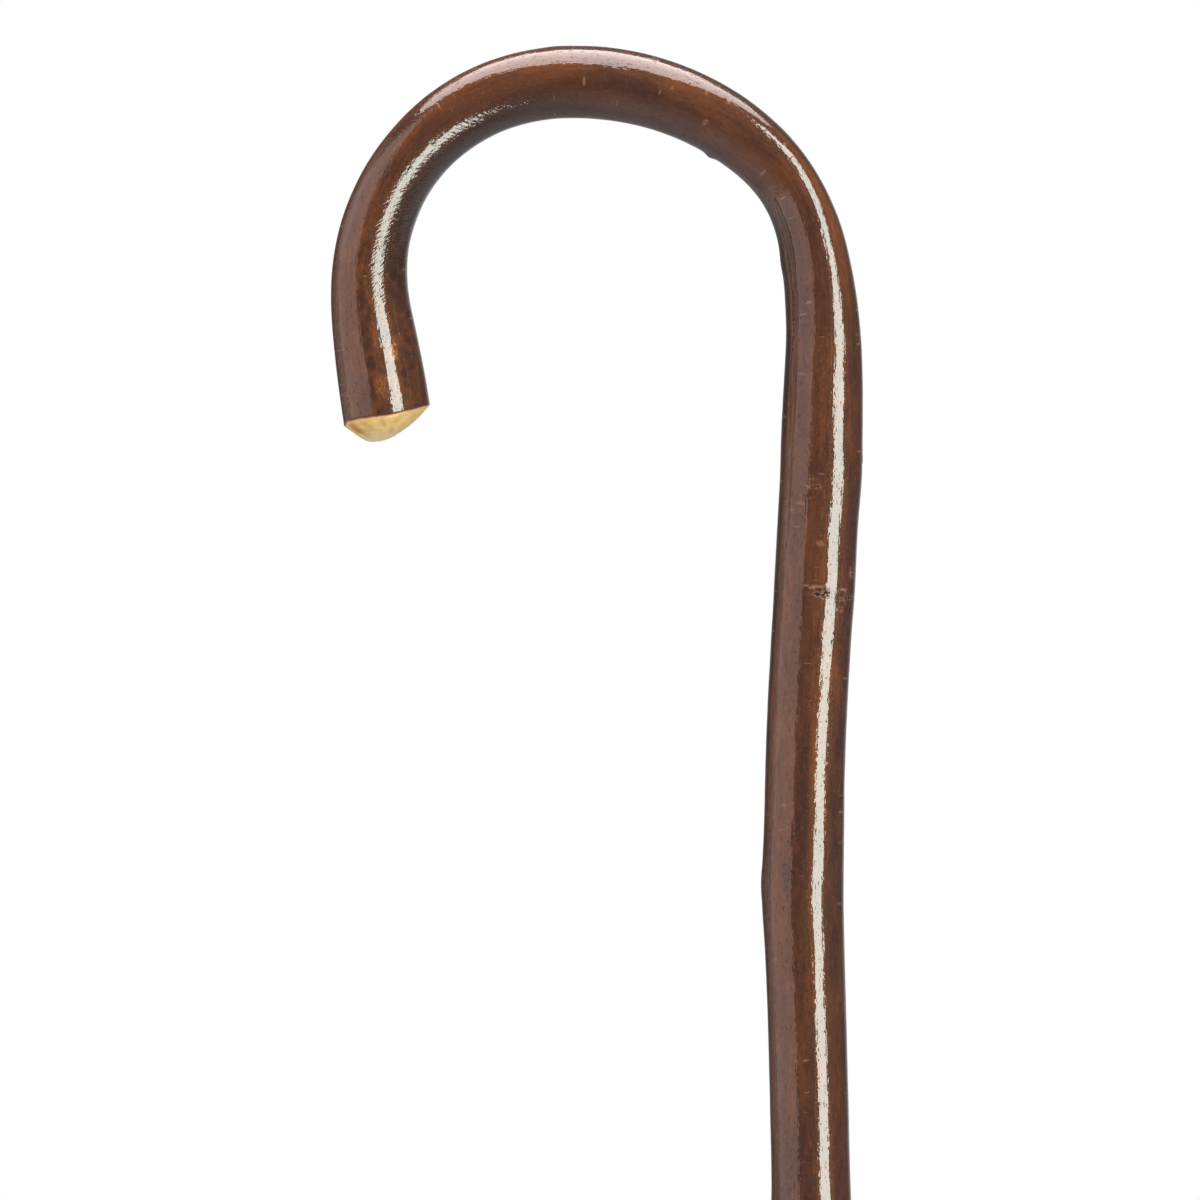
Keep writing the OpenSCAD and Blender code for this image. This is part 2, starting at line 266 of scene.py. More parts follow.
# Pale corky dashes that lie across the stick: distance below the throat, or above it where it is
# negative, side in degrees, half spread in degrees, half height
DASHES = (
    (63.0, 86, 13, 0.42), (63.4, 134, 7, 0.5), (51.9, 94, 6, 0.45), (31.2, 148, 9, 0.3),
    (58.9, 151, 6, 1.4), (61.0, 230, 14, 0.4), (68.5, 132, 4, 0.7), (35.0, 79, 7, 0.32),
    (36.5, 72, 5, 0.4), (36.5, 84, 5, 0.4), (43.3, 47, 4, 0.4), (-69.3, 117, 5, 0.4),
    (-71.9, 72, 3, 0.4), (-75.1, 127, 3, 0.5), (-80.4, 122, 3, 0.5), (-82.4, 124, 5, 0.35),
    (-83.6, 100, 2.5, 0.6), (-89.6, 152, 9, 0.5),
)
# Small nubs: distance above the throat, side in degrees, rise and half length
NUBS = ((66.0, 0.0, 0.55, 1.5), (24.0, 6.0, 0.35, 4.0), (113.0, 180.0, 0.15, 3.0))
STICK_R = SHAFT_D / 2
# Brown smudges on the rasped dome: distance from its middle, side in degrees, half size and
# strength
SMUDGES = (
    (10.0, 149, 1.3, 0.9), (7.2, 141, 1.5, 0.7), (8.6, 122, 0.9, 0.4), (9.8, 92, 1.2, 0.6),
    (6.0, 78, 0.8, 0.4), (9.6, 62, 1.0, 0.4), (8.0, 250, 1.8, 0.7), (5.0, 320, 1.4, 0.5),
)
# Where a soft mark ends, in its half sizes; it is full up to one half size nearer its middle
MARK_END = 1.6
RUBBED_AND_SHEEN_END = 1.5


def eyes(way, angle):
    """Relief and darkness of the leaf scars: a dent inside an oval ring that stands proud of it, both
    bells over the distance from the oval's middle in its half sizes."""
    ring_rise, ring_half, dent_depth, dent_half, dark_half = 0.16, 0.35, 0.22, 0.6, 0.75
    rise, dark = 0, 0
    for at, side, half_length, half_width in EYES:
        across = np.radians(turned_by(angle, side)) * STICK_R / half_width
        out = np.hypot((SHAFT_LEN - way - at) / half_length, across)
        ring = ring_rise * np.exp(-((out - 1) / ring_half) ** 2)
        rise = rise + ring - dent_depth * np.exp(-(out / dent_half) ** 2)
        dark = dark + np.exp(-(out / dark_half) ** 4)
    return rise, dark


def creases(way, angle):
    """Relief and darkness of the ring scars: a thin groove under a low lip, which wavers along."""
    waver, lip_share, lip_over, lip_half, groove_half, dark_half = 0.6, 0.7, 1.3, 1.0, 0.6, 1.3
    rise, dark = 0, 0
    for at, side, spread, depth, stain in CREASES:
        share = smooth(MARK_END - MARK_END * np.abs(turned_by(angle, side)) / spread)
        off = SHAFT_LEN - way - at + waver * lumps(way * 0 + at, angle, pitch=9, columns=14, seed=31)
        lip = lip_share * np.exp(-((off + lip_over) / lip_half) ** 2)
        rise = rise + depth * share * (lip - np.exp(-(off / groove_half) ** 2))
        dark = dark + stain * share * np.exp(-(off / dark_half) ** 2)
    return rise, dark


def dashes(way, angle):
    """Strength of the pale dashes, from 0 to 1: flat ovals with a wavering outline."""
    waver = 0.25
    pale = 0
    for at, side, spread, half in DASHES:
        off = SHAFT_LEN - way - at + waver * lumps(way * 0 + at, angle, pitch=9, columns=40, seed=33)
        pale = pale + smooth(MARK_END - np.hypot(off / half, turned_by(angle, side) / spread))
    return np.clip(pale, 0, 1)


def folds(way, angle):
    """Relief of the folds in the hollow of the bend: bells round the stick that waver along it."""
    fade_in, fade_out, waver = 16, 20, 2.5
    above = way - SHAFT_LEN
    rise = 0
    for start, end, side, height, half in FOLDS:
        run = smooth((above - start) / fade_in) * smooth((end - above) / fade_out)
        drift = waver * lumps(way, angle * 0, pitch=17, columns=4, seed=34 + int(end))
        rise = rise + height * run * np.exp(-(turned_by(angle, side + drift) / half) ** 2)
    return rise


def rubbed_and_sheen(way, angle):
    """How far the bark is rubbed thin, together with the painted warm sheen beside the gloss strip, from
    0 to 1: soft ovals.
    """
    share = 0
    for above, side, half_length, half_width, strength in RUBBED_AND_SHEEN:
        off = np.hypot((way - SHAFT_LEN - above) / half_length, turned_by(angle, side) / half_width)
        share = share + strength * smooth(RUBBED_AND_SHEEN_END - off)
    return np.clip(share, 0, 1)


def smudges(r, angle):
    """How brown the dome is, from 0 to 1: soft spots round their places on it, with a wavering
    outline."""
    waver = 0.3
    share = 0
    here = r * np.exp(1j * np.radians(angle))
    for out, side, half, strength in SMUDGES:
        off = np.abs(here - out * np.exp(1j * np.radians(side))) / half
        off = off + waver * lumps(r, angle, pitch=1.1, columns=36, seed=36)
        share = share + strength * smooth(MARK_END - off)
    return np.clip(share, 0, 1)


def nubs(way, angle):
    """Relief of the small nubs on the crook, each a round bell."""
    rise = 0
    for above, side, height, half in NUBS:
        across = np.radians(turned_by(angle, side)) * STICK_R
        rise = rise + height * np.exp(-((way - SHAFT_LEN - above) ** 2 + across ** 2) / half ** 2)
    return rise


def unevenness(way, angle):
    """Low waves of the bark, from broad to fine, about a level a little under the plain sweep."""
    level = -0.1
    broad = 0.08 * lumps(way, angle, pitch=19, columns=5, seed=11)
    middling = 0.04 * lumps(way, angle, pitch=8, columns=9, seed=12)
    fine = 0.015 * lumps(way, angle, pitch=3.1, columns=22, seed=13)
    return broad + middling + fine + level


def pinch_and_shade(way, angle):
    """How tightly the bark is squeezed on the hollow side of the bends, from 0 to 1. The same mask
    lays painted shade on that side, under and inside the crook. It comes in from a little below the
    throat and goes a little past the last bend."""
    lead_in, fade_in, run_out, fade_out = 4, 30, 10, 24
    above = way - SHAFT_LEN
    bent = smooth((above + lead_in) / fade_in) * smooth((BEND_END[4] + run_out - above) / fade_out)
    return bent * smooth(0.45 + 0.75 * np.cos(np.radians(angle)))


def heading_at(way):
    """Heading of the middle line in degrees, read off its fine grid."""
    return np.interp(way, LINE[0], LINE[4])


def tilt(way):
    """Tilt of the rings, which grows over the nose to that of the bark's cut edge."""
    return NOSE_TILT * smooth(1 - (LENGTH - way) / TILT_LEN)


def at_place(way, inward, near, along):
    """Points told from the middle line: inward to the hollow side, near side and along the stick."""
    x, y, z = (np.interp(way, LINE[0], LINE[k]) for k in (1, 2, 3))
    turned = np.radians(heading_at(way))
    return np.stack([
        x - inward * np.sin(turned) + along * np.cos(turned),
        y - near + 0 * inward,
        z + inward * np.cos(turned) + along * np.sin(turned),
    ], axis=-1)


def lobes(way, angle):
    """Shifts, inward and near, that make the section out of round. The tangent that faces each way
    lies farther out by a twofold, a threefold and a fourfold wave, and touches beside the middle by
    their slope."""
    waves = [[(row[0], row[k]) for row in OUT_OF_ROUND] for k in (1, 2, 3)]
    oval, ridge, flanks = (softened(way - SHAFT_LEN, wave, OUT_OF_ROUND_REACH) for wave in waves)
    a = np.radians(angle)
    out = oval * np.sin(2 * a) + ridge * (np.cos(3 * a) - np.cos(a)) + flanks * (np.cos(4 * a) - 1)
    slope = 2 * oval * np.cos(2 * a) - ridge * (3 * np.sin(3 * a) - np.sin(a))
    slope = slope - 4 * flanks * np.sin(4 * a)
    share = settled(way)
    return share * (out * np.cos(a) - slope * np.sin(a)), share * (out * np.sin(a) + slope * np.cos(a))


def cut_back(angle):
    """How far the bark's edge stops short of the plain cut, with the small waves of a knife's cut."""
    wave = 0.1
    plain = np.interp(angle % 360, *np.array(CUT_BACK, float).T)
    return plain + wave * (1 + lumps(angle * 0, angle, pitch=9, columns=40, seed=35))


def stick_points(way, angle, skin, relief=0):
    """Points of the stick's surface, a skin's depth under the bark's outer face: an oval round the
    middle line, made lobed, raised by the knots and the relief and tilted towards the nose."""
    above = way - SHAFT_LEN
    taper = (FOOT_BARK_D - SHAFT_D) * np.maximum(0, -above - THIN_BELOW - THICKNESS_REACH)
    d = softened(above, THICKNESS, THICKNESS_REACH) + taper / (SHAFT_LEN - THIN_BELOW - THICKNESS_REACH)
    deeper = CROOK_FLAT * smooth(above / BEND_END[1]) * smooth((CROOK_LEN - above) / BEND_END[2])
    r = d / 2 - skin + swelling(way, angle) + relief
    a = np.radians(angle)
    shift_in, shift_near = lobes(way, angle)
    inward, near = r * np.cos(a) + shift_in, (r + deeper / 2) * np.sin(a) + shift_near
    back = cut_back(angle) * smooth(1 - (LENGTH - way) / CUT_LEAN_LEN)
    return at_place(way, inward, near, -inward * np.tan(np.radians(tilt(way))) - back)


def dome_rise(r, angle):
    """Height of the rasped dome over the bark's cut edge: a skewed cap with one flat rasped on it."""
    inward = r * np.cos(np.radians(angle))
    cap = (np.sqrt(CAP_R ** 2 - r ** 2) - (CAP_R - DOME_H)) * (1 - DOME_SKEW * inward / NOSE_R)
    flat = (NOSE_R + inward) * math.tan(math.radians(RASP_SLOPE))
    sharpness = 5.0
    return -np.log(np.exp(-sharpness * cap) + np.exp(-sharpness * flat)) / sharpness


def dome_points(r, angle):
    """Points of the dome at a radius from its middle, with low facets left by the rasp."""
    shift_in, shift_near = lobes(np.full_like(r, LENGTH), angle)
    share = np.minimum(1, (r / WOOD_R) ** 2)
    inward = r * np.cos(np.radians(angle)) + share * shift_in
    near = r * np.sin(np.radians(angle)) + share * shift_near
    depth, margin = 0.10, 1.5
    facets = depth * lumps(r, angle, pitch=3.4, columns=9, seed=21) * smooth((WOOD_R - r) / margin)
    back = DOME_BACK + (cut_back(angle) - DOME_BACK) * (r / NOSE_R) ** 2
    along = dome_rise(r, angle) - inward * math.tan(math.radians(NOSE_TILT)) - np.abs(facets) - back
    return at_place(np.full_like(r, LENGTH), inward, near, along)


def ring_grid(points):
    """Corners of the quads between rings of points, which close round the stick."""
    rows, columns = points.shape[:2]
    here = np.arange(rows * columns).reshape(rows, columns)
    there = np.roll(here, -1, axis=1)
    return np.stack([here[:-1], here[1:], there[1:], there[:-1]], axis=-1).reshape(-1, 4)


SHARP_ANGLE = 42.0


def placed(name, data):
    """A new object in the scene that holds a mesh, a lamp or a camera."""
    made = bpy.data.objects.new(name, data)
    bpy.context.scene.collection.objects.link(made)
    return made


def piece(name, points, faces, marks):
    """A mesh object from points in millimetres, its faces, and named values for each point."""
    mesh = bpy.data.meshes.new(name)
    mesh.from_pydata((points.reshape(-1, 3) * MM).tolist(), [], [f.tolist() for f in faces])
    for mark, values in marks.items():
        kind, field = ("FLOAT_VECTOR", "vector") if values.shape[-1] == 3 else ("FLOAT", "value")
        data = mesh.attributes.new(mark, kind, "POINT").data
        data.foreach_set(field, values.astype(np.float32).ravel())
    mesh.shade_smooth()
    mesh.set_sharp_from_angle(angle=math.radians(SHARP_ANGLE))
    return placed(name, mesh)


def closed_piece(name, points, start, end, marks):
    """A piece from rings of points, closed by a fan of triangles at the start and one at the end."""
    rows, columns = points.shape[:2]
    first = np.arange(columns)
    last = first + (rows - 1) * columns
    start_at, end_at = np.full(columns, rows * columns), np.full(columns, rows * columns + 1)
    fans = np.concatenate([
        np.stack([np.roll(first, -1), first, start_at], axis=-1),
        np.stack([last, np.roll(last, -1), end_at], axis=-1),
    ])
    flat = np.concatenate([points.reshape(-1, 3), [start, end]])
    return piece(name, flat, [*ring_grid(points)[:, ::-1], *fans], marks)


def unbent(way, angle, r):
    """Place of each point on the stick as it grew, straight: the patterns follow this through the
    bends. It is in millimetres, with the way as its third number."""
    a = np.radians(angle)
    return np.stack([r * np.cos(a), r * np.sin(a), way + 0 * a], axis=-1)


def spaced(start, *runs):
    """Places along a line from a start, by runs that each give where they stop and their pitch."""
    parts = []
    for stop, pitch in runs:
        parts.append(np.linspace(start, stop, max(1, round((stop - start) / pitch)), endpoint=False))
        start = stop
    return np.concatenate([*parts, [start]])


SIDES = 88
ANGLES = np.arange(SIDES) * 360 / SIDES
EDGE_BEVEL = 0.12
CUT_SHARES = np.array([0, 0.33, 0.66, 1.0])
DOME_RINGS = 36
# Ways of the rings between bark and wood, which both pieces have
INNER_WAYS = spaced(0, (SHAFT_LEN, 12.0), (LENGTH - 1, 4.0), (LENGTH, 1.0))[:-1]


def bark_piece():
    """The bark: rings up its outer face, over its cut edge on the nose, and down its inner face. They
    are closest round the ring scar and at the cut."""
    scar_way, scar_reach, nose_reach = SHAFT_LEN - RING_SCAR, 5, 3
    outer = spaced(
        0, (scar_way - scar_reach, 1.15), (scar_way + scar_reach, 0.45), (SHAFT_LEN, 1.05),
        (LENGTH - nose_reach, 0.9), (LENGTH - EDGE_BEVEL, 0.4),
    )
    way, angle = np.meshgrid(outer, ANGLES, indexing="ij")
    eye_rise, eye_dark = eyes(way, angle)
    crease_rise, crease_dark = creases(way, angle)
    relief = unevenness(way, angle) + eye_rise + crease_rise + nubs(way, angle) + folds(way, angle)
    relief = relief * settled(way * 4) - EDGE_BEVEL * smooth(1 - way)
    face = stick_points(way, angle, 0, relief)

    in_way, in_angle = np.meshgrid(INNER_WAYS[::-1], ANGLES, indexing="ij")
    lining = stick_points(in_way, in_angle, BARK_T)

    cut_radii = NOSE_R - EDGE_BEVEL - (BARK_T - EDGE_BEVEL) * CUT_SHARES
    cut_r, cut_angle = np.meshgrid(cut_radii, ANGLES, indexing="ij")
    points = np.concatenate([face, dome_points(cut_r, cut_angle), lining])
    ways = np.concatenate([way, np.full_like(cut_r, LENGTH), in_way])
    angles = np.concatenate([angle, cut_angle, in_angle])
    layers = 0.2 + 0.8 * np.tile(CUT_SHARES[:, None], (1, SIDES))
    cut_mark = np.concatenate([np.zeros_like(way), layers, np.ones_like(in_way)])

    def on_face(values):
        return np.concatenate([values, np.zeros_like(cut_r), np.zeros_like(in_way)])[..., None]

    faces = ring_grid(np.concatenate([points, points[:1]])) % (len(points) * SIDES)
    return piece("bark_skin", points, faces[:, ::-1], {
        "unbent": unbent(ways, angles, STICK_R),
        "cut": cut_mark[..., None],
        "scar": on_face(np.clip(eye_dark + crease_dark, 0, 1)),
        # This mask also lays painted shade on the hollow side of the bends
        "pinch_and_shade": on_face(pinch_and_shade(way, angle)),
        "pale": on_face(dashes(way, angle)),
        # This mask also lays a painted warm sheen beside the gloss strip
        "rubbed_and_sheen": on_face(rubbed_and_sheen(way, angle)),
    })


def wood_piece():
    """The wood: a pared round foot, its shoulder, the sweep under the bark and the rasped dome."""
    foot_r, chamfer, shoulder_h = SPIGOT_D / 2, 1.0, 9
    rounding = chamfer * 0.3
    foot = [
        (FOOT_Z, foot_r - chamfer), (FOOT_Z + rounding, foot_r - rounding), (FOOT_Z + chamfer, foot_r),
        (BARK_Z - shoulder_h, foot_r), (BARK_Z, foot_r),
    ]
    a = np.radians(ANGLES)
    rings = [np.stack([-r * np.cos(a), -r * np.sin(a), np.full(SIDES, z)], axis=-1) for z, r in foot]
    foot_marks = [unbent(np.full(SIDES, z - BARK_Z), ANGLES, r) for z, r in foot]

    way, angle = np.meshgrid(INNER_WAYS, ANGLES, indexing="ij")
    dome_radii = WOOD_R * np.linspace(1, 0, DOME_RINGS + 1)[:-1]
    r, dome_angle = np.meshgrid(dome_radii, ANGLES, indexing="ij")
    points = np.concatenate([
        np.array(rings), stick_points(way, angle, BARK_T), dome_points(r, dome_angle),
    ])
    near_axis = 1e-6
    dome_top = dome_points(np.array([near_axis]), np.array([0.0]))[0]
    marks = np.concatenate([
        np.array(foot_marks), unbent(way, angle, WOOD_R),
        unbent(LENGTH + dome_rise(r, dome_angle), dome_angle, r),
    ])
    end_marks = np.array([[0, 0, FOOT_Z - BARK_Z], [0, 0, LENGTH + DOME_H]])
    below_dome = np.zeros((len(points) - len(r)) * SIDES)
    brown = np.concatenate([below_dome, smudges(r, dome_angle).ravel(), np.zeros(2)])
    return closed_piece("stick_wood", points, (0, 0, FOOT_Z), dome_top, {
        "unbent": np.concatenate([marks.reshape(-1, 3), end_marks]),
        "brown": brown[:, None],
    })


def arc(centre, r, start, stop, count=9):
    """Points of an arc about a centre, between two angles in degrees."""
    a = np.radians(np.linspace(start, stop, count))
    return [(centre[0] + r * c, centre[1] + r * s) for c, s in zip(np.cos(a), np.sin(a))]


def revolved(name, outline, count):
    """A closed body of revolution about Z from an outline of radius and height whose ends lie on
    the axis, run from the lower end round the outside to the upper one."""
    r, z = np.array(outline[1:-1]).T
    a = np.radians(np.arange(count) * 360 / count)
    x, y, level = r[:, None] * np.cos(a), r[:, None] * np.sin(a), np.repeat(z[:, None], count, 1)
    points = np.stack([x, y, level], axis=-1)
    return closed_piece(name, points, (0, 0, outline[0][1]), (0, 0, outline[-1][1]), {})


def rubber_piece():
    """The ferrule: flanged sole with tread rings, flare, beaded neck, round rim and socket."""
    edge, rim_round, lip, mouth = 1.2, 1.0, 0.25, 0.6
    beads, bead_r, bead_drop, bead_pitch = 3, 0.7, 3.2, 3.4
    sole_edge, neck_z = 5.0, 15.0
    socket_gap, wall, washer_gap, undercut_bevel = 0.05, 3.6, 0.15, 0.02
    socket_r = SPIGOT_D / 2 + socket_gap
    rim_r = socket_r + wall
    flange_r = SOLE_R - edge
    rise, run = neck_z - sole_edge, flange_r - rim_r
    flare_r = (rise ** 2 + run ** 2) / (2 * run)
    flare_angle = math.degrees(math.asin(rise / flare_r))
    undercut_r, undercut_h = WASHER_R + washer_gap, FOOT_Z - SOLE_T + washer_gap
    pad_r, rings, groove_w, groove_depth = 4.0, 3, 1.3, 1.4
    outline = [(0, 0)]
    for k in range(rings):
        inner = pad_r + k * (flange_r - pad_r) / rings
        outline += arc((inner - lip, lip), lip, -90, 0, 4)
        outline += [(inner, groove_depth), (inner + groove_w, groove_depth)]
        outline += arc((inner + groove_w + lip, lip), lip, 180, 270, 4)
    outline += arc((flange_r, edge), edge, -90, 0)
    outline += arc((flange_r, sole_edge - edge), edge, 0, 90)
    outline += arc((rim_r + flare_r, neck_z), flare_r, 180 + flare_angle, 180, 14)[1:]
    for k in reversed(range(beads)):
        outline += arc((rim_r, RIM_Z - bead_drop - bead_pitch * k), bead_r, -90, 90)
    outline += arc((rim_r - rim_round, RIM_Z - rim_round), rim_round, 0, 90)
    outline += [
        (socket_r + mouth, RIM_Z), (socket_r, RIM_Z - mouth),
        (socket_r, SOLE_T + undercut_h + undercut_bevel), (undercut_r, SOLE_T + undercut_h),
        (undercut_r, SOLE_T), (0, SOLE_T),
    ]
    return revolved("rubber_tip", outline, 128)


def srgb(red, green, blue):
    """A colour given on the screen's scale of 255, as linear light."""
    c = np.array([red, green, blue]) / 255
    linear = np.where(c <= 0.04045, c / 12.92, ((c + 0.055) / 1.055) ** 2.4)
    return (*linear.tolist(), 1.0)


# Colours of the bark, in the order in which its finish lays them on, and of its sheen
BROWN, RUSSET, ORANGE = srgb(79, 53, 46), srgb(101, 63, 45), srgb(127, 74, 46)
FIBRE, MOTTLE_PALE, MOTTLE_DARK = srgb(56, 37, 32), srgb(148, 92, 60), srgb(48, 33, 30)
# The squeezed dark brown is partly painted shade on the hollow side of the bends
SQUEEZED_AND_SHADE, NOSE_DARK, NOSE_PALE = srgb(56, 40, 35), srgb(56, 35, 28), srgb(140, 80, 42)
# The golden is partly a painted warm sheen beside the gloss strip
GOLDEN_AND_SHEEN, FLAKE, PORE = srgb(136, 78, 46), srgb(184, 118, 60), srgb(176, 118, 86)
CORK, SCAR, CRACK = srgb(172, 118, 84), srgb(150, 104, 76), srgb(34, 27, 26)
CUT_BARK, CUT_BAST, CUT_WOOD = srgb(92, 46, 30), srgb(160, 94, 62), srgb(246, 208, 154)
WARM_SHEEN = srgb(255, 184, 112)
# Colours of the bare wood
STRAW, PALE_STRAW, WOOD_RING = srgb(250, 202, 112), srgb(255, 222, 146), srgb(232, 176, 100)
SMUDGE, DOME_TIP = srgb(208, 142, 76), srgb(255, 236, 190)
# Colours of the ferrule and its washer
RUBBER_DARK, RUBBER_GREY, DUST = srgb(44, 43, 43), srgb(58, 57, 56), srgb(120, 112, 102)
ZINC_DARK, ZINC_PALE = srgb(176, 178, 182), srgb(204, 205, 208)


class Nodes:
    """Adds nodes to a tree and joins them, so that a finish reads as a few lines."""

    def __init__(self, tree):
        self.tree = tree

    def add(self, kind, inputs=None, **settings):
        """A new node with its settings, and its inputs by name or number."""
        node = self.tree.nodes.new("ShaderNode" + kind)
        for key, value in settings.items():
            setattr(node, key, value)
        for key, value in (inputs or {}).items():
            self.feed(value, node.inputs[key])
        return node

    def feed(self, value, socket):
        """Joins an output to a socket, or sets the socket to a plain value."""
        if isinstance(value, bpy.types.NodeSocket):
            self.tree.links.new(value, socket)
        else:
            socket.default_value = value

    def math(self, operation, *values, clamp=False):
        node = self.add("Math", dict(enumerate(values)), operation=operation, use_clamp=clamp)
        return node.outputs[0]

    def times(self, a, b):
        return self.math("MULTIPLY", a, b)

    def plus(self, a, b, clamp=False):
        return self.math("ADD", a, b, clamp=clamp)

    def scaled(self, vector, by):
        return self.add("VectorMath", {0: vector, 1: by}, operation="MULTIPLY").outputs[0]

    def noise(self, vector, detail=2.0, roughness=0.5, distortion=0.0):
        values = {"Vector": vector, "Scale": 1.0, "Detail": detail}
        values |= {"Roughness": roughness, "Distortion": distortion}
        return self.add("TexNoise", values).outputs["Fac"]

    def span(self, value, low, high, to_low=0.0, to_high=1.0):
        """A smooth step of a value from low to high, which gives to_low up to to_high."""
        values = {"Value": value, "From Min": low, "From Max": high, "To Min": to_low, "To Max": to_high}
        return self.add("MapRange", values, interpolation_type="SMOOTHSTEP").outputs["Result"]

    def mix(self, share, a, b):
        node = self.add("Mix", data_type="RGBA")
        for value, socket in ((share, 0), (a, 6), (b, 7)):
            self.feed(value, node.inputs[socket])
        return node.outputs[2]

    def bump(self, height, distance=MM, strength=1.0):
        return self.add("Bump", {"Height": height, "Strength": strength, "Distance": distance}).outputs[0]

    def attribute(self, name, output):
        return self.add("Attribute", attribute_name=name).outputs[output]

    def apart(self, vector):
        return self.add("SeparateXYZ", {0: vector}).outputs

    def from_axis(self, vector):
        """Distance of a place from the Z axis."""
        squares = [self.math("POWER", self.apart(vector)[k], 2.0) for k in (0, 1)]
        return self.math("SQRT", self.plus(*squares))


def emptied(owner):
    """Tools for the node tree of a material or a world, once what Blender put there is removed."""
    owner.use_nodes = True
    owner.node_tree.nodes.clear()
    return Nodes(owner.node_tree)


def finish_named(name):
    """A new material and its tools: the nodes and the surface shader, joined to the output."""
    made = bpy.data.materials.new(name)
    nodes = emptied(made)
    surface = nodes.add("BsdfPrincipled")
    nodes.add("OutputMaterial", {"Surface": surface.outputs[0]})
    return made, nodes, surface


def wood_streaks_group():
    """Streaks that run along the grain and broad blotches, from the unbent place of the surface."""
    group = bpy.data.node_groups.new("Wood_Streaks", "ShaderNodeTree")
    for label, way, kind in (
        ("Place", "INPUT", "Vector"), ("Across", "INPUT", "Float"), ("Along", "INPUT", "Float"),
        ("Streak", "OUTPUT", "Float"), ("Blotch", "OUTPUT", "Float"),
    ):
        group.interface.new_socket(name=label, in_out=way, socket_type="NodeSocket" + kind)
    takes = group.nodes.new("NodeGroupInput").outputs
    gives = group.nodes.new("NodeGroupOutput").inputs
    nodes = Nodes(group)
    across, along = takes["Across"], takes["Along"]
    scale = nodes.add("CombineXYZ", {0: across, 1: across, 2: along}).outputs[0]
    nodes.feed(nodes.noise(nodes.scaled(takes["Place"], scale), 3.0, 0.6), gives["Streak"])
    broad = nodes.scaled(takes["Place"], (0.16, 0.16, 0.045))
    nodes.feed(nodes.noise(broad, 3.0, 0.55, 0.4), gives["Blotch"])
    return group


def sound_bark(nodes, place, streaks):
    """Colour of the bark before it is marked, and its mottle: dark and orange-brown blotches, faint
    dark fibres and a mottle, all of them noises that are drawn out along the stick."""
    long = nodes.add("Group", {"Place": place, "Across": 1.1, "Along": 0.13}, node_tree=streaks).outputs
    colour = nodes.mix(nodes.span(long["Blotch"], 0.36, 0.62), BROWN, RUSSET)
    warm = nodes.noise(nodes.scaled(place, (0.24, 0.24, 0.07)), 4.0, 0.6)
    colour = nodes.mix(nodes.span(warm, 0.5, 0.7, 0.0, 0.7), colour, ORANGE)
    colour = nodes.mix(nodes.span(long["Streak"], 0.6, 0.36, 0.0, 0.3), colour, FIBRE)
    mottle = nodes.noise(nodes.scaled(place, (1.1, 1.1, 0.8)), 4.0, 0.65)
    colour = nodes.mix(nodes.span(mottle, 0.55, 0.7, 0.0, 0.3), colour, MOTTLE_PALE)
    return nodes.mix(nodes.span(mottle, 0.45, 0.3, 0.0, 0.5), colour, MOTTLE_DARK), mottle


def handled_bark(nodes, place, colour, pinched_and_shaded, thin_and_sheen):
    """The bark's colour where bends and hands have changed it, and its flakes: dark where a bend
    squeezes it, which is partly painted shade on the hollow side of the crook, patchy on the inner
    half of the nose, golden and then flaked where it is rubbed thin and where a warm sheen beside the
    gloss strip is painted."""
    inward, _, along = nodes.apart(place)
    # Painted shade: the hollow side of the bends is darkened, together with the squeezed bark
    squeeze_and_shade = nodes.span(along, SHAFT_LEN + 88, SHAFT_LEN + 114, 0.45, 0.8)
    colour = nodes.mix(nodes.times(nodes.math("POWER", pinched_and_shaded, 2.0), squeeze_and_shade), colour, SQUEEZED_AND_SHADE)
    patchy = nodes.noise(nodes.scaled(place, (0.45, 0.45, 0.36)), 3.0, 0.5)
    inner_half = nodes.span(inward, -5.0, -1.5)
    nose = nodes.times(nodes.span(along, SHAFT_LEN + 160, SHAFT_LEN + 195), inner_half)
    for end, strength, tint in ((0.34, 0.4, NOSE_DARK), (0.66, 0.32, NOSE_PALE)):
        colour = nodes.mix(nodes.times(nose, nodes.span(patchy, 0.5, end, 0.0, strength)), colour, tint)
    # Painted warm sheen beside the gloss strip, together with the golden of rubbed bark; the flakes follow
    # the same mask
    colour = nodes.mix(nodes.times(thin_and_sheen, 0.6), colour, GOLDEN_AND_SHEEN)
    flaky = nodes.noise(nodes.scaled(place, (1.4, 1.4, 0.7)), 4.0, 0.6)
    flakes = nodes.times(nodes.math("POWER", thin_and_sheen, 3.0), nodes.span(flaky, 0.42, 0.64, 0.0, 0.8))
    return nodes.mix(flakes, colour, FLAKE), flakes


def bark_pores(nodes, place, mottle):
    """Strength of the pores: some of the flat cells that lie across the stick, more of them in some
    rows, each of its own size and with an outline that the mottle warps."""
    level = nodes.add("CombineXYZ", {2: nodes.times(nodes.apart(place)[2], 0.45)}).outputs[0]
    in_row = nodes.span(nodes.noise(level, 1.0), 0.54, 0.6)
    flat = nodes.scaled(place, (0.2, 0.2, 0.7))
    cells = nodes.add("TexVoronoi", {"Vector": flat, "Scale": 1.0, "Randomness": 1.0}).outputs
    chance, size, _ = nodes.add("SeparateColor", {0: cells["Color"]}).outputs
    chosen = nodes.span(nodes.plus(chance, nodes.times(in_row, -0.3)), 0.05, 0.015)
    reach = nodes.plus(0.17, nodes.times(size, 0.15))
    warped = nodes.plus(cells["Distance"], nodes.times(mottle, 0.12))
    return nodes.times(nodes.span(nodes.math("SUBTRACT", warped, reach), 0.1, -0.06), chosen)


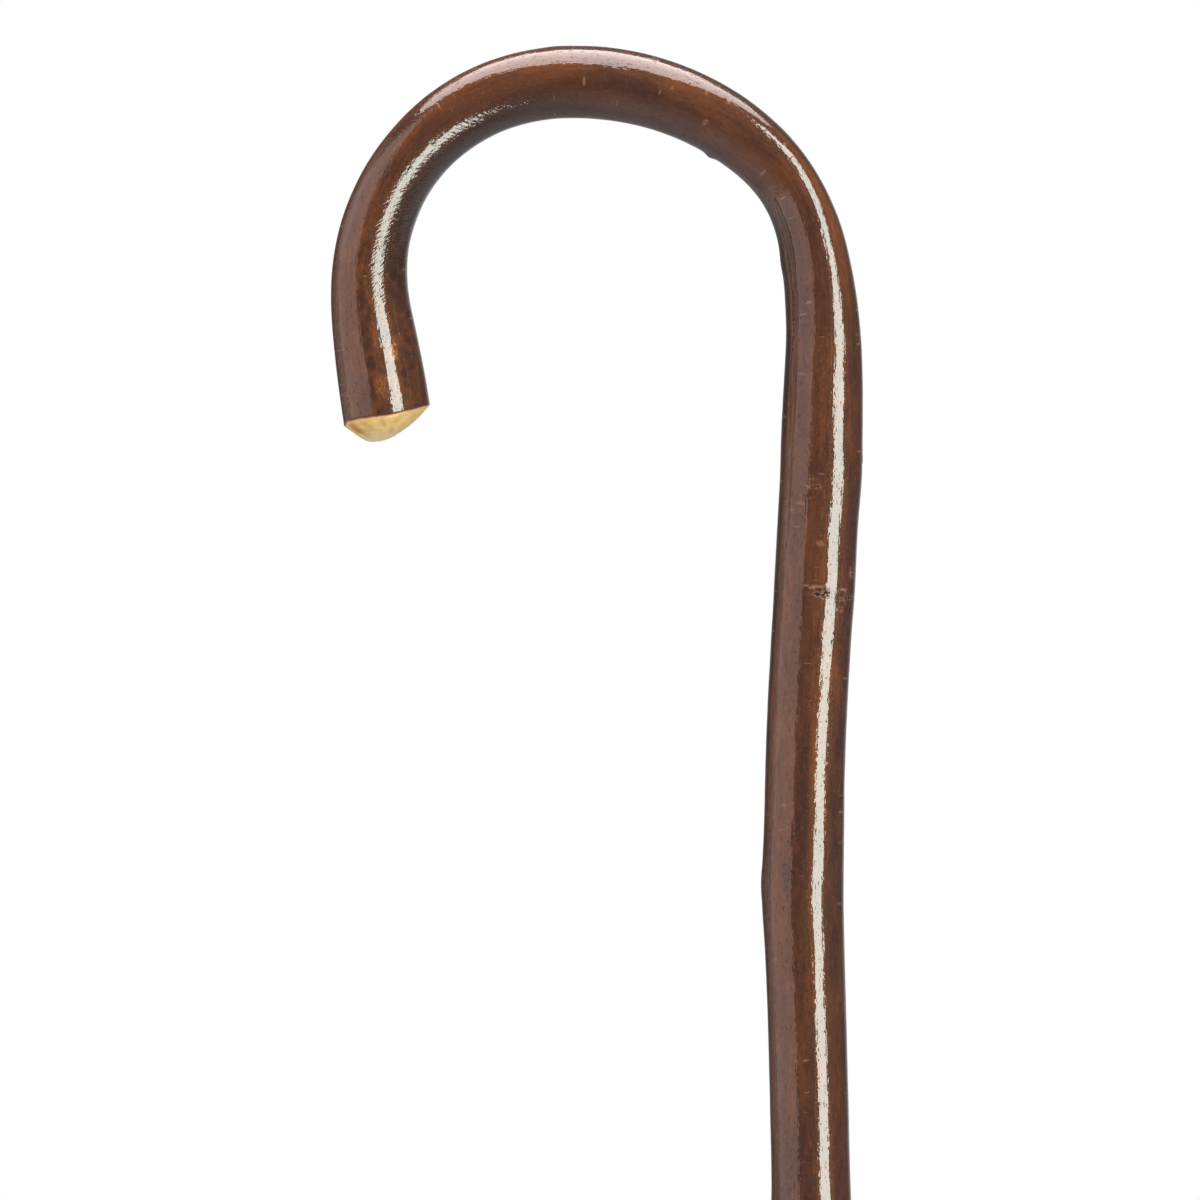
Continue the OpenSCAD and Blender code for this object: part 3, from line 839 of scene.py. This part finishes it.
def cut_layers(nodes, cut):
    """Colour across the bark's cut edge: dark bark outside, red-brown bast and pale wood inside."""
    ramp = nodes.add("ValToRGB", {"Fac": cut})
    stops = ramp.color_ramp.elements
    stops[0].position, stops[0].color = 0.25, CUT_BARK
    stops[1].position, stops[1].color = 0.75, CUT_WOOD
    stops.new(0.5).color = CUT_BAST
    return ramp.outputs["Color"]


def squeezed_skin(nodes, place, pinched_and_shaded):
    """Relief of the slanting hairlines that the bend draws in the varnish, beside its hollow line."""
    inward, near, along = nodes.apart(place)
    slant = nodes.plus(along, nodes.times(inward, 0.9))
    sheared = nodes.add("CombineXYZ", {0: inward, 1: near, 2: slant}).outputs[0]
    hairline = nodes.noise(nodes.scaled(sheared, (0.4, 0.4, 1.15)), 2.0)
    squeezed = nodes.times(pinched_and_shaded, nodes.span(along, SHAFT_LEN + 70, SHAFT_LEN + 165))
    squeezed = nodes.times(squeezed, nodes.span(nodes.math("ABSOLUTE", near), 2.0, 7.0))
    return nodes.times(hairline, nodes.times(squeezed, 0.23))


def bark_finish(streaks):
    """Bark under a clear varnish. The bark has dark and orange-brown blotches, faint fibres with a
    warm sheen, patches on the nose, pale pores in short rows across the stick and a pale cut edge.
    The varnish is the coat: glossy, a little wavy, drawn into hairlines where the bend squeezes it,
    with tiny pits."""
    made, nodes, surface = finish_named("varnished_bark")
    place = nodes.attribute("unbent", "Vector")
    names = ("cut", "scar", "pinch_and_shade", "pale", "rubbed_and_sheen")
    cut, scar, pinched_and_shaded, pale, thin_and_sheen = (nodes.attribute(name, "Fac") for name in names)
    colour, mottle = sound_bark(nodes, place, streaks)
    colour, flakes = handled_bark(nodes, place, colour, pinched_and_shaded, thin_and_sheen)
    pore = bark_pores(nodes, place, mottle)
    colour = nodes.mix(nodes.times(pore, 0.5), colour, PORE)
    crumbs = nodes.noise(nodes.scaled(place, (1.1, 1.1, 1.5)), 2.0)
    broken = nodes.times(pale, nodes.span(crumbs, 0.4, 0.54, 0.0, 0.75))
    colour = nodes.mix(broken, colour, CORK)
    colour = nodes.mix(nodes.times(scar, 0.5), colour, SCAR)
    crack = nodes.times(scar, nodes.span(crumbs, 0.58, 0.48))
    colour = nodes.mix(crack, colour, CRACK)
    colour = nodes.mix(nodes.span(cut, 0.05, 0.2), colour, cut_layers(nodes, cut))
    nodes.feed(colour, surface.inputs["Base Color"])

    fibre = nodes.noise(nodes.scaled(place, (1.7, 1.7, 0.07)), 3.0, 0.6)
    grain = nodes.plus(nodes.times(fibre, 0.10), nodes.times(mottle, 0.07))
    nodes.feed(nodes.bump(grain), surface.inputs["Normal"])
    nodes.feed(nodes.span(mottle, 0.3, 0.7, 0.38, 0.28), surface.inputs["Roughness"])
    surface.inputs["Specular IOR Level"].default_value = 0.1
    surface.inputs["Specular Tint"].default_value = WARM_SHEEN

    ripple = nodes.noise(nodes.scaled(place, (0.36, 0.36, 0.3)), 2.0)
    ridge = nodes.noise(nodes.scaled(place, (1.4, 1.4, 0.1)), 1.0)
    fine = nodes.noise(nodes.scaled(place, (0.9, 0.9, 0.8)), 1.0)
    skin = squeezed_skin(nodes, place, pinched_and_shaded)
    for height, rise in (
        (ripple, 0.05), (ridge, 0.04), (fine, 0.05), (pore, 0.03), (crack, -0.08), (broken, 0.05),
        (flakes, 0.015),
    ):
        skin = nodes.plus(skin, nodes.times(height, rise))
    nodes.feed(nodes.bump(skin), surface.inputs["Coat Normal"])
    pit = nodes.span(nodes.noise(nodes.scaled(place, (2.2, 2.2, 0.8)), 1.0), 0.63, 0.71, 0.0, 0.75)
    marks = nodes.math("MAXIMUM", nodes.times(crack, 0.8), nodes.times(pore, 0.15))
    bare = nodes.math("MAXIMUM", nodes.math("MAXIMUM", pit, cut), marks)
    nodes.feed(nodes.math("SUBTRACT", 1.0, bare), surface.inputs["Coat Weight"])
    surface.inputs["Coat Roughness"].default_value = 0.05
    surface.inputs["Coat IOR"].default_value = 1.5
    return made


def bare_wood_finish(streaks):
    """Rasped chestnut: straw-coloured end grain with faint rings, brown smudges and a pale tip."""
    made, nodes, surface = finish_named("bare_wood")
    place = nodes.attribute("unbent", "Vector")
    grain = nodes.add("Group", {"Place": place, "Across": 0.5, "Along": 0.2}, node_tree=streaks).outputs
    colour = nodes.mix(nodes.span(grain["Streak"], 0.35, 0.65), STRAW, PALE_STRAW)
    warped = nodes.plus(nodes.from_axis(place), nodes.times(grain["Streak"], 1.2))
    ring = nodes.math("SINE", nodes.times(warped, 3.4))
    colour = nodes.mix(nodes.span(ring, 0.2, 1.0, 0.0, 0.14), colour, WOOD_RING)
    cloud = nodes.span(nodes.noise(nodes.scaled(place, (0.3, 0.3, 0.5)), 3.0, 0.6), 0.45, 0.65, 0.0, 0.3)
    smudge = nodes.plus(cloud, nodes.times(nodes.attribute("brown", "Fac"), 0.8), clamp=True)
    colour = nodes.mix(smudge, colour, SMUDGE)
    tip = nodes.span(nodes.apart(place)[2], LENGTH + DOME_H * 0.6, LENGTH + DOME_H, 0.0, 0.7)
    colour = nodes.mix(tip, colour, DOME_TIP)
    nodes.feed(colour, surface.inputs["Base Color"])
    rasp = nodes.noise(nodes.scaled(place, (1.6, 0.5, 1.0)), 2.0)
    nodes.feed(nodes.bump(nodes.times(rasp, 0.04)), surface.inputs["Normal"])
    nodes.feed(nodes.span(grain["Streak"], 0.3, 0.7, 0.42, 0.55), surface.inputs["Roughness"])
    return made


def rubber_finish():
    """Black-grey moulded rubber with a fine matt grain and dust towards the sole."""
    made, nodes, surface = finish_named("ferrule_rubber")
    place = nodes.add("TexCoord").outputs["Object"]
    cloud = nodes.noise(nodes.scaled(place, (160.0,) * 3), 3.0, 0.6)
    colour = nodes.mix(nodes.span(cloud, 0.35, 0.65), RUBBER_DARK, RUBBER_GREY)
    dusty = nodes.times(nodes.span(nodes.apart(place)[2], 0.006, 0.0), nodes.span(cloud, 0.4, 0.7))
    colour = nodes.mix(nodes.times(dusty, 0.5), colour, DUST)
    nodes.feed(colour, surface.inputs["Base Color"])
    grain = nodes.noise(nodes.scaled(place, (2600.0,) * 3), 2.0)
    nodes.feed(nodes.bump(grain, 0.05 * MM, 0.25), surface.inputs["Normal"])
    nodes.feed(nodes.span(cloud, 0.3, 0.7, 0.52, 0.66), surface.inputs["Roughness"])
    return made


def washer_finish():
    """Zinc-plated steel with fine turning marks round its hole."""
    made, nodes, surface = finish_named("washer_steel")
    place = nodes.add("TexCoord").outputs["Object"]
    rings = nodes.add("CombineXYZ", {0: nodes.times(nodes.from_axis(place), 9000.0)}).outputs[0]
    turned = nodes.noise(rings, 2.0)
    cloud = nodes.noise(nodes.scaled(place, (220.0,) * 3), 3.0)
    nodes.feed(nodes.mix(cloud, ZINC_DARK, ZINC_PALE), surface.inputs["Base Color"])
    surface.inputs["Metallic"].default_value = 1.0
    nodes.feed(nodes.span(turned, 0.2, 0.8, 0.24, 0.4), surface.inputs["Roughness"])
    nodes.feed(nodes.bump(turned, 0.02 * MM, 0.3), surface.inputs["Normal"])
    return made


def dress():
    """Makes the pieces, gives each its finish and seats it on its body."""
    streaks = wood_streaks_group()
    made = (
        (bark_piece(), bark_finish(streaks), "stick", "bark", "varnished_bark"),
        (wood_piece(), bare_wood_finish(streaks), "stick", "chestnut_wood", "bare_wood"),
        (rubber_piece(), rubber_finish(), "ferrule", "rubber_ferrule", "ferrule_rubber"),
    )
    for shape, finish, body, node, slot in made:
        shape.data.materials.append(finish)
        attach(shape, body)
        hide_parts(node)
    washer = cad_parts["steel_washer"]
    washer.material_slots[0].material = washer_finish()


# The studio stands round the crook, which hangs this high over the floor
CROOK_AT = np.array([-0.055, 0.0, 0.80])
CREAM, ROSE, BLUSH, PINK = (0.91, 1.0, 0.94), (1.0, 0.72, 0.64), (1.0, 0.79, 0.73), (1.0, 0.91, 0.9)
WHITE = (1.0, 1.0, 1.0)


def lamp(name, place, target, size, radiance, colour, seen_in, shape="RECTANGLE", lean=0.0):
    """A softbox that faces a target, turned in its own plane by its lean in degrees. Its radiance is
    1 where white paper would show white. It lights either the colours or the gloss."""
    light = bpy.data.lights.new(name, "AREA")
    light.shape, light.size, light.size_y = shape, *size
    area = size[0] * size[1] * (math.pi / 4 if shape == "ELLIPSE" else 1)
    light.energy = radiance * math.pi * area
    light.color = colour
    made = placed(name, light)
    direction = Vector(target) - Vector(place)
    made.location = place
    made.rotation_euler = direction.to_track_quat("-Z", "Y").to_euler()
    made.rotation_euler.rotate_axis("Z", math.radians(lean))
    made.visible_camera = False
    made.visible_diffuse, made.visible_glossy = seen_in == "colour", seen_in == "gloss"
    return made


def upright(azimuth, distance, low, high, turn):
    """Place, target and size of a panel that stands upright between two heights and spans so many
    degrees each way, as seen from the crook."""
    a = math.radians(azimuth)
    target = CROOK_AT * (1, 1, 0) + (0, 0, (low + high) / 2)
    place = target + np.array([math.sin(a), -math.cos(a), 0]) * distance
    width = 2 * distance * math.tan(math.radians(turn))
    return tuple(place), tuple(target), (width, high - low)


def lamps():
    """For the gloss a tall strip box to the right, a broad warm panel to the left and an oval one
    overhead, and for the colours a broad soft lamp in front. The left panel leans outwards, fades at
    its rim, is brighter above and has a dim edge behind."""
    for name, azimuth, distance, low, high, turn, radiance, tint, lean in (
        ("strip_box", 47.5, 0.6, 0.02, 1.28, 14, 14.4, CREAM, 0),
        ("left_panel", -67, 0.9, 0.41, 1.62, 34, 1.02, BLUSH, 12),
        ("left_panel_rim", -72.5, 0.9, 0.28, 1.62, 39.5, 0.68, BLUSH, 12),
        ("left_panel_top", -80, 0.9, 1.0, 1.66, 40, 0.48, ROSE, 0),
        ("left_panel_edge", -119, 0.9, 0.28, 1.5, 11, 0.32, ROSE, 0),
    ):
        lamp(name, *upright(azimuth, distance, low, high, turn), radiance, tint, "gloss", lean=lean)
    over, oval = CROOK_AT + (0.0, 0.03, 0.82), (1.4, 0.94)
    top = lamp("top_panel", tuple(over), tuple(over - (0, 0, 1)), oval, 7.8, PINK, "gloss", "ELLIPSE")
    top.rotation_euler[2] = math.radians(10)
    lamp("front_box", (0.35, -1.5, 1.6), tuple(CROOK_AT), (1.2, 1.2), 4.6, WHITE, "colour")


def white_room():
    """The world: white for the camera, and half as bright for the colours. The gloss sees a pale room
    behind and below, warm where it faces the left panel's image."""
    world = bpy.data.worlds.new("white_room")
    bpy.context.scene.world = world
    nodes = emptied(world)
    heading = nodes.add("TexCoord").outputs["Generated"]
    aside, back, up = nodes.apart(heading)
    room = nodes.times(nodes.span(up, 0.05, -0.4, 0.06, 0.42), nodes.span(back, -0.9, 0.3))
    room = nodes.times(room, nodes.span(back, 0.5, 0.95, 1.0, 0.6))
    behind = nodes.times(nodes.span(back, 0.76, 1.0, 0.02, 0.5), nodes.span(aside, -0.4, 0.3, 0.3, 1.0))
    behind = nodes.times(behind, nodes.span(up, 0.55, 0.15, 0.25, 1.0))
    room = nodes.plus(room, nodes.times(behind, nodes.span(up, -0.45, -0.1)))
    aslant = nodes.add("VectorMath", {0: heading, 1: (-0.65, -0.15, -0.74)}, operation="DOT_PRODUCT")
    low_in_front = nodes.times(nodes.span(up, -0.2, -0.6), nodes.span(back, 0.6, -0.4))
    image = nodes.times(nodes.span(aslant.outputs["Value"], 0.3, 1.05, 0.0, 0.85), low_in_front)

    def light(tint, strength):
        return nodes.add("Background", {"Color": (*tint, 1), "Strength": strength}).outputs[0]

    rays = nodes.add("LightPath").outputs
    mirrored = nodes.add("AddShader", {0: light(WHITE, room), 1: light(ROSE, image)}).outputs[0]
    unseen = nodes.add("MixShader", {0: rays["Is Glossy Ray"], 1: light(WHITE, 0.5), 2: mirrored})
    shown = nodes.math("MAXIMUM", rays["Is Camera Ray"], rays["Is Transmission Ray"])
    both = nodes.add("MixShader", {0: shown, 1: unseen.outputs[0], 2: light(WHITE, 1.0)}).outputs[0]
    nodes.add("OutputWorld", {"Surface": both})


def pale_floor():
    """A white floor that keeps the cane's shadow. Further out it fades to the white room, the gloss
    sees the room through it there, and little light comes back from it to the colours."""
    half = 30.0
    corners = [(-half, -half, 0), (half, -half, 0), (half, half, 0), (-half, half, 0)]
    mesh = bpy.data.meshes.new("floor")
    mesh.from_pydata(corners, [], [(0, 1, 2, 3)])
    floor = placed("floor", mesh)
    made = bpy.data.materials.new("pale_floor")
    nodes = emptied(made)
    rays = nodes.add("LightPath").outputs
    place = nodes.add("TexCoord").outputs["Object"]
    out = nodes.add("VectorMath", {0: place}, operation="LENGTH").outputs["Value"]
    lit = nodes.add("BsdfDiffuse", {"Color": (0.9, 0.9, 0.9, 1)}).outputs[0]
    white = nodes.add("Emission", {"Color": (*WHITE, 1), "Strength": 1.0}).outputs[0]
    dim = nodes.add("Emission", {"Color": (*WHITE, 1), "Strength": 0.6}).outputs[0]
    clear = nodes.add("BsdfTransparent").outputs[0]
    for kind, start, end, beyond in (
        ("Is Camera Ray", 0.5, 2.0, white), ("Is Glossy Ray", 0.05, 0.15, clear),
        ("Is Diffuse Ray", 0.1, 0.6, dim),
    ):
        share = nodes.times(nodes.span(out, start, end), rays[kind])
        lit = nodes.add("MixShader", {0: share, 1: lit, 2: beyond}).outputs[0]
    nodes.add("OutputMaterial", {"Surface": lit})
    mesh.materials.append(made)


def camera():
    """A long lens, level with the middle of the photograph's frame and looking along +Y."""
    frame_width, distance = 0.315, 3.0
    middle_x, middle_z = -0.05454, 0.77444
    data = bpy.data.cameras.new("camera")
    data.sensor_width = 36.0
    data.lens = data.sensor_width * distance / frame_width
    made = placed("camera", data)
    made.location = (middle_x, -distance, middle_z)
    made.rotation_euler = (math.radians(90), 0, 0)
    bpy.context.scene.camera = made
    bpy.context.scene.view_settings.view_transform = "Standard"


dress()
lamps()
white_room()
pale_floor()
camera()
